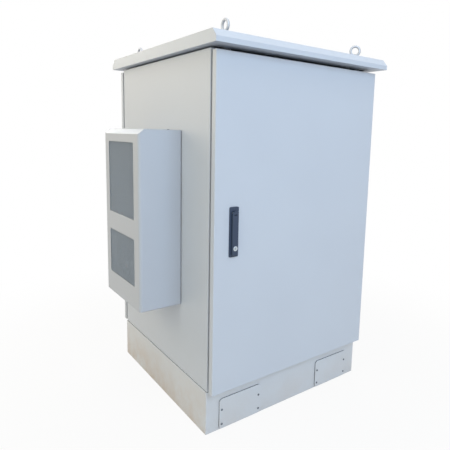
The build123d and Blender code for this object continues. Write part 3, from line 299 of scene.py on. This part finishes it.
def punched(form, place, across, up, holes, depth):
    """Add a sheet with square holes: grid lines in millimetres, the open cells and a thickness."""
    corners = {}

    def corner(i, j, k):
        if (i, j, k) not in corners:
            spot = Vector((across[i], k * depth, up[j])) * MM
            corners[i, j, k] = form.verts.new(place @ spot)
        return corners[i, j, k]

    cells = {(i, j) for i in range(len(across) - 1) for j in range(len(up) - 1)} - holes
    for i, j in sorted(cells):
        edge = ((i, j), (i + 1, j), (i + 1, j + 1), (i, j + 1))
        form.faces.new([corner(a, b, 0) for a, b in edge])
        form.faces.new([corner(a, b, 1) for a, b in reversed(edge)])
        beside = ((i, j - 1), (i + 1, j), (i, j + 1), (i - 1, j))
        for n, neighbour in enumerate(beside):
            if neighbour not in cells:
                (a, b), (c, d) = edge[n], edge[(n + 1) % len(edge)]
                form.faces.new((corner(c, d, 0), corner(a, b, 0), corner(a, b, 1), corner(c, d, 1)))


def slab(form, low, high):
    """Add a flat plate between two corners in metres."""
    corners = [form.verts.new((x, y, z)) for x in (low[0], high[0]) for y in (low[1], high[1])
               for z in (low[2], high[2])]
    for side in ((0, 1, 3, 2), (4, 6, 7, 5), (0, 4, 5, 1), (2, 3, 7, 6), (0, 2, 6, 4), (1, 5, 7, 3)):
        form.faces.new([corners[n] for n in side])


def piece(name, form, finish, body, slot, *replaced):
    """Turn a form into a named piece that rides on its body."""
    bmesh.ops.recalc_face_normals(form, faces=form.faces)
    mesh = bpy.data.meshes.new(name)
    form.to_mesh(mesh)
    form.free()
    mesh.shade_smooth()
    mesh.set_sharp_from_angle(angle=radians(CRISP))
    mesh.materials.append(finish)
    made = bpy.data.objects.new(name, mesh)
    scene.collection.objects.link(made)
    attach(made, body)
    if replaced:
        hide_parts(*replaced)


# Lifting eyes

EYE_X, EYE_Y, ROOF_TOP = 371, 405, 1610  # mm, as in the frame
WASHER, NUT, RISE = 3, 10, 26
RING, BAR = 21, 5.9  # the bar is a hair under its 6 mm, so that the smooth ring stays in the frame's box
EYES = ((-EYE_X, -EYE_Y, 90), (EYE_X, -EYE_Y, 135), (-EYE_X, EYE_Y, 90), (EYE_X, EYE_Y, 45))
EYE_FOOT = ((13.6, 0), (14.6, 0.5), (15, 1.4), (15, 4.6), (14.4, 6), (12, 7), (9.6, 8.4), (7.6, 11))
NUT_END, NUT_FLAT, NUT_SLOPE, FLATS = 9.4, 9.5, 1.2, 6
LOCK_NUT = ((NUT_END, WASHER), (NUT_FLAT, WASHER + NUT_SLOPE, FLATS),
            (NUT_FLAT, WASHER + NUT - NUT_SLOPE, FLATS), (NUT_END, WASHER + NUT))
EYE_SEAL = ((17.8, 0), (18.5, 0.6), (18.5, 2.2), (17.6, WASHER))

rings, nuts, seals = bmesh.new(), bmesh.new(), bmesh.new()
for x, y, turn in EYES:
    seat = Matrix.Translation(Vector((x, y, ROOF_TOP)) * MM)
    base = Matrix.Translation(Vector((x, y, ROOF_TOP + WASHER + NUT)) * MM)
    upright = Matrix.Rotation(radians(turn), 4, "Z") @ Matrix.Rotation(pi / 2, 4, "X")
    centre = Matrix.Translation(Vector((0, 0, RISE)) * MM)
    ring_bar(rings, base @ centre @ upright, RING, BAR)
    turned(rings, base, EYE_FOOT)
    turned(nuts, seat, LOCK_NUT)
    turned(seals, seat, EYE_SEAL)
piece("lifting_eye_rings", rings, forged_zinc, "cabinet", "forged_zinc", "lifting_eyes")
piece("lifting_eye_lock_nuts", nuts, zinc_plate, "cabinet", "zinc_steel")
piece("lifting_eye_seals", seals, foam_rubber, "cabinet", "seal_rubber")


# Screws with hexagon sockets

SCREW_HEAD = ((4.4, 0), (4.6, 0.3), (4.6, 1.2), (4.1, 2.1), (3.2, 2.6), (1.75, 2.6, FLATS),
              (1.6, 1.2, FLATS))
COVER_X, SCREW_X, SCREW_HEIGHTS = 281, 97, (24, 89)  # mm, as in the frame
COVER_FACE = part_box("plinth_cover_left")[0].y / MM
UNIT_Y, UNIT_SCREW_Y, UNIT_SCREW_X, UNIT_TOP, UNIT_BASE = -12, 106, -467.5, 1252, 497

heads = bmesh.new()
for side in (-1, 1):
    for across in (-SCREW_X, SCREW_X):
        for height in SCREW_HEIGHTS:
            spot = Vector((side * COVER_X + across, COVER_FACE, height)) * MM
            turned(heads, Matrix.Translation(spot) @ Matrix.Rotation(pi / 2, 4, "X"), SCREW_HEAD)
    for height, tilt in ((UNIT_TOP, 0), (UNIT_BASE, pi)):
        spot = Vector((UNIT_SCREW_X, UNIT_Y + side * UNIT_SCREW_Y, height)) * MM
        turned(heads, Matrix.Translation(spot) @ Matrix.Rotation(tilt, 4, "X"), SCREW_HEAD)
piece("cover_screw_heads", heads, shade_darkened_screw_steel, "cabinet", "zinc_steel", "cover_screws")


# Inlet mesh behind the cooling unit's windows

MESH_PITCH, WIRE_RADIUS = 3.4, 0.53

for name in ("ac_grille_upper", "ac_grille_lower"):
    low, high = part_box(name)
    inset = WIRE_RADIUS * MM
    front_x = low.x + inset
    back_x = front_x + 2 * inset
    mesh = bmesh.new()
    count = int((high.y - low.y) / MM / MESH_PITCH)
    step = (high.y - low.y - 2 * inset) / count
    for n in range(count + 1):
        y = low.y + inset + n * step
        wire(mesh, Vector((back_x, y, low.z)), Vector((back_x, y, high.z)), WIRE_RADIUS)
    count = int((high.z - low.z) / MM / MESH_PITCH)
    step = (high.z - low.z - 2 * inset) / count
    for n in range(count + 1):
        z = low.z + inset + n * step
        wire(mesh, Vector((front_x, low.y, z)), Vector((front_x, high.y, z)), WIRE_RADIUS)
    piece(name.replace("grille", "inlet_mesh"), mesh, mesh_coat, "cabinet", "grille_grey", name)


# Rack rails with the full pattern of three square holes to a unit

UNIT, UNITS, HOLE, SHEET = 44.45, 28, 9.5, 2
HOLE_SHARES = (1 / 7, 1 / 2, 6 / 7)
RAIL_INNER, RAIL_OUTER, HOLE_X = 225, 250, 232.55

for name, facing in (("rack_rails_front", 1), ("rack_rails_rear", -1)):
    low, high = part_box(name)
    bottom, top = low.z / MM, high.z / MM
    first = (bottom + top - UNITS * UNIT) / 2
    lines, open_rows = [bottom], []
    for unit in range(UNITS):
        for share in HOLE_SHARES:
            middle = first + (unit + share) * UNIT
            open_rows.append(len(lines))
            lines += [middle - HOLE / 2, middle + HOLE / 2]
    lines.append(top)
    face = low.y if facing > 0 else high.y
    rails = bmesh.new()
    for side in (-1, 1):
        place = Matrix.Translation((0, face, 0)) @ Matrix.Diagonal((side, facing, 1, 1))
        columns = [RAIL_INNER, HOLE_X - HOLE / 2, HOLE_X + HOLE / 2, RAIL_OUTER]
        punched(rails, place, columns, lines, {(1, row) for row in open_rows}, SHEET)
        web = [RAIL_OUTER - SHEET, RAIL_OUTER]
        place = place @ Matrix.Translation((0, SHEET * MM, 0))
        punched(rails, place, web, [bottom, top], set(), (high.y - low.y) / MM - SHEET)
    piece(name.replace("rails", "rails_punched"), rails, galvanised_sheet, "cabinet", "galvanised_steel",
          name)


# Foamed bead seals on the door and the rear cover

SEAL_BAND, SEAL_CORNER, CORNER_STEPS = 16, 12, 8
# Half of the bead's section: shares of half its band and of its depth
SEAL_SHARES = ((1.0, 0.0), (1.0, 0.13), (0.92, 0.18), (0.88, 0.3), (0.86, 0.5), (0.78, 0.69), (0.58, 0.85),
               (0.3, 0.96), (0.0, 1.0))

for name, body in (("door_gasket", "door"), ("rear_gasket", "cabinet")):
    low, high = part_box(name)
    seat, tip = (low.y, high.y) if high.y < 0 else (high.y, low.y)
    half = SEAL_BAND / 2 * MM
    section = [(-reach * half, rise * (tip - seat)) for reach, rise in SEAL_SHARES]
    section += [(-across, rise) for across, rise in reversed(section[:-1])]
    inset = half + SEAL_CORNER * MM
    bead = bmesh.new()
    loops = []
    for quarter, x, z in ((0, high.x - inset, high.z - inset), (1, low.x + inset, high.z - inset),
                          (2, low.x + inset, low.z + inset), (3, high.x - inset, low.z + inset)):
        for n in range(CORNER_STEPS + 1):
            angle = (quarter + n / CORNER_STEPS) * pi / 2
            out = Vector((cos(angle), 0, sin(angle)))
            middle = Vector((x, seat, z)) + out * SEAL_CORNER * MM
            loops.append([bead.verts.new(middle + out * across + Vector((0, rise, 0)))
                          for across, rise in section])
    for here, there in zip(loops, loops[1:] + loops[:1]):
        for m in range(len(section)):
            k = (m + 1) % len(section)
            bead.faces.new((here[m], there[m], there[k], here[k]))
    piece(name.replace("gasket", "bead_seal"), bead, foam_rubber, body, "seal_rubber", name)


# Finned coils of the cooling unit

COIL_DEPTH, COIL_PLATE, FIN = 36, 3, 0.4
FIN_PITCH = 2.4  # mm, drawn wider than the real 1.8 so that the fins show
TUBE_RADIUS, COLLAR, TUBE_PITCH, TUBE_ROWS = 4.8, 0.3, 25.4, (9, 27)
TUBE_SIDES, BEND_STEPS = 12, 8
EVAPORATOR_SETBACK = 18

for name, setback in (("ac_condenser", 0), ("ac_evaporator", EVAPORATOR_SETBACK)):
    low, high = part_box(name)
    front = low.x + setback * MM
    back = front + COIL_DEPTH * MM
    fins, bends = bmesh.new(), bmesh.new()
    plates = ((low.y, low.y + COIL_PLATE * MM), (high.y - COIL_PLATE * MM, high.y))
    for start, end in plates:
        slab(fins, (low.x, start, low.z), (high.x, end, high.z))
    count = int((high.y - low.y) / MM / FIN_PITCH) - len(plates)
    for n in range(count):
        y = (low.y + high.y) / 2 + (n - (count - 1) / 2) * FIN_PITCH * MM
        slab(fins, (front, y - FIN / 2 * MM, low.z), (back, y + FIN / 2 * MM, high.z))
    count = int((high.z - low.z) / MM / TUBE_PITCH)
    first = (low.z + high.z) / 2 - (count - 1) / 2 * TUBE_PITCH * MM
    for row in TUBE_ROWS:
        x = front + row * MM
        for n in range(count):
            z = first + n * TUBE_PITCH * MM
            wire(fins, Vector((x, low.y, z)), Vector((x, high.y, z)), TUBE_RADIUS + COLLAR, TUBE_SIDES)
        for n in range(0, count - 1, 2):
            z = first + (n + 1 / 2) * TUBE_PITCH * MM
            reach = TUBE_PITCH / 2 * MM
            turns = [pi * (m / BEND_STEPS - 1 / 2) for m in range(BEND_STEPS + 1)]
            bend = [Vector((x, low.y - reach * cos(turn), z + reach * sin(turn))) for turn in turns]
            for here, there in zip(bend, bend[1:]):
                wire(bends, here, there, TUBE_RADIUS, TUBE_SIDES)
    piece(name + "_fins", fins, fin_aluminium, "cabinet", "coil_aluminium", name)
    piece(name + "_bends", bends, copper, "cabinet", "copper")


# Floor, light and camera, in metres

FLOOR_REACH = 30.0
SHADOW_FULL, SHADOW_GONE = 0.9, 2.2  # distances from the middle between which the floor's shadow fades
GLOW_SHARE = 0.92  # of the white that the floor keeps in the shadow

floor_form = bmesh.new()
bmesh.ops.create_grid(floor_form, x_segments=1, y_segments=1, size=FLOOR_REACH)
floor_mesh = bpy.data.meshes.new("floor")
floor_form.to_mesh(floor_mesh)
floor_form.free()
floor = bpy.data.objects.new("floor", floor_mesh)
scene.collection.objects.link(floor)


def direct(tree):
    """One for a ray that comes straight, mirrored or through glass, and zero for scattered light."""
    path = add(tree, "ShaderNodeLightPath")
    seen = add(tree, "ShaderNodeMath", {0: path.outputs["Is Camera Ray"], 1: path.outputs["Is Glossy Ray"]},
               operation="MAXIMUM")
    return add(tree, "ShaderNodeMath", {0: seen.outputs[0], 1: path.outputs["Is Transmission Ray"]},
               operation="MAXIMUM").outputs[0]


# White sweep of paper: it stays white to the eye and keeps a light shadow.
paper, tree = blank("white_paper_sweep")
paint = add(tree, "ShaderNodeBsdfDiffuse", {"Color": linear("#cfcdc9")})
glow = add(tree, "ShaderNodeEmission", {"Color": linear("#ffffff"), "Strength": 1.0})
place = add(tree, "ShaderNodeTexCoord").outputs["Object"]
reach = add(tree, "ShaderNodeVectorMath", {0: place}, operation="LENGTH")
clear = add(tree, "ShaderNodeMapRange", {"Value": reach.outputs["Value"], "From Min": SHADOW_FULL,
                                         "From Max": SHADOW_GONE, "To Min": GLOW_SHARE, "To Max": 1.0},
            interpolation_type="SMOOTHSTEP")
share = add(tree, "ShaderNodeMath", {0: direct(tree), 1: clear.outputs[0]}, operation="MULTIPLY")
mixed = add(tree, "ShaderNodeMixShader", {0: share.outputs[0], 1: paint.outputs[0], 2: glow.outputs[0]})
add(tree, "ShaderNodeOutputMaterial", {"Surface": mixed.outputs[0]})
floor_mesh.materials.append(paper)

world = bpy.data.worlds.new("studio")
scene.world = world
world.use_nodes = True
tree = world.node_tree
tree.nodes.clear()
dim = add(tree, "ShaderNodeBackground", {"Color": linear("#fffbf6"), "Strength": 0.52})
white = add(tree, "ShaderNodeBackground", {"Color": linear("#ffffff"), "Strength": 1.0})
mixed = add(tree, "ShaderNodeMixShader", {0: direct(tree), 1: dim.outputs[0], 2: white.outputs[0]})
add(tree, "ShaderNodeOutputWorld", {"Surface": mixed.outputs[0]})


def softbox(name, place, aim, size, power, colour):
    """Square lamp of this size and power in watts, turned towards a point."""
    lamp = bpy.data.lights.new(name, "AREA")
    lamp.shape = "SQUARE"
    lamp.size = size
    lamp.energy = power
    lamp.color = linear(colour)[:3]
    made = bpy.data.objects.new(name, lamp)
    made.location = place
    made.rotation_euler = (Vector(aim) - Vector(place)).to_track_quat("-Z", "Y").to_euler()
    scene.collection.objects.link(made)


# The front is lit cool as by open sky, the left side is warm, and a low lamp behind glances off the
# cooling unit's slope.
softbox("sky_front", (-0.3, -3.9, 3.3), aim=(0, 0, 0.6), size=2.2, power=84.0, colour="#b8daff")
softbox("ground_front", (-0.4, -3.4, 0.75), aim=(0, -0.4, 1.4), size=1.4, power=10.5, colour="#d4e7ff")
softbox("left", (-3.2, -0.8, 2.0), aim=(-0.45, 0, 1.3), size=1.8, power=15.2, colour="#fbffe6")
softbox("left_rear", (-1.9, 1.7, 1.9), aim=(-0.45, 0, 1.3), size=1.2, power=11.2, colour="#ffecd0")
softbox("rear_low", (-0.8, 3.0, 2.4), aim=(-0.62, 0, 1.24), size=1.0, power=13.5, colour="#fffef8")
softbox("sky_top", (-0.8, -0.6, 5.2), aim=(0, 0, 0.9), size=3.6, power=64.0, colour="#fefffe")
softbox("sky_behind", (3.2, 3.6, 2.6), aim=(0, 0, 0.9), size=3.2, power=79.0, colour="#ffffff")

# Camera where the photograph was taken from: its turns are in radians, its lens and sensor in millimetres
STAND = (-1.3319, -1.8812, 1.2408)
YAW, PITCH, ROLL = 0.6468673, -0.1420295, 0.0257827
LENS, SENSOR, SHIFT, NEAR = 35.50, 36.0, (-0.0627, -0.0596), 0.05
forward = Vector((sin(YAW) * cos(PITCH), cos(YAW) * cos(PITCH), sin(PITCH)))
right = forward.cross(Vector((0, 0, 1))).normalized()
upward = right.cross(forward)
right, upward = right * cos(ROLL) + upward * sin(ROLL), upward * cos(ROLL) - right * sin(ROLL)
camera = bpy.data.objects.new("camera", bpy.data.cameras.new("camera"))
turn = Matrix((right, upward, -forward)).transposed().to_4x4()
camera.matrix_world = Matrix.Translation(STAND) @ turn
camera.data.lens = LENS
camera.data.sensor_width = SENSOR
camera.data.shift_x, camera.data.shift_y = SHIFT
camera.data.clip_start = NEAR
scene.collection.objects.link(camera)
scene.camera = camera
scene.view_settings.view_transform = "Standard"
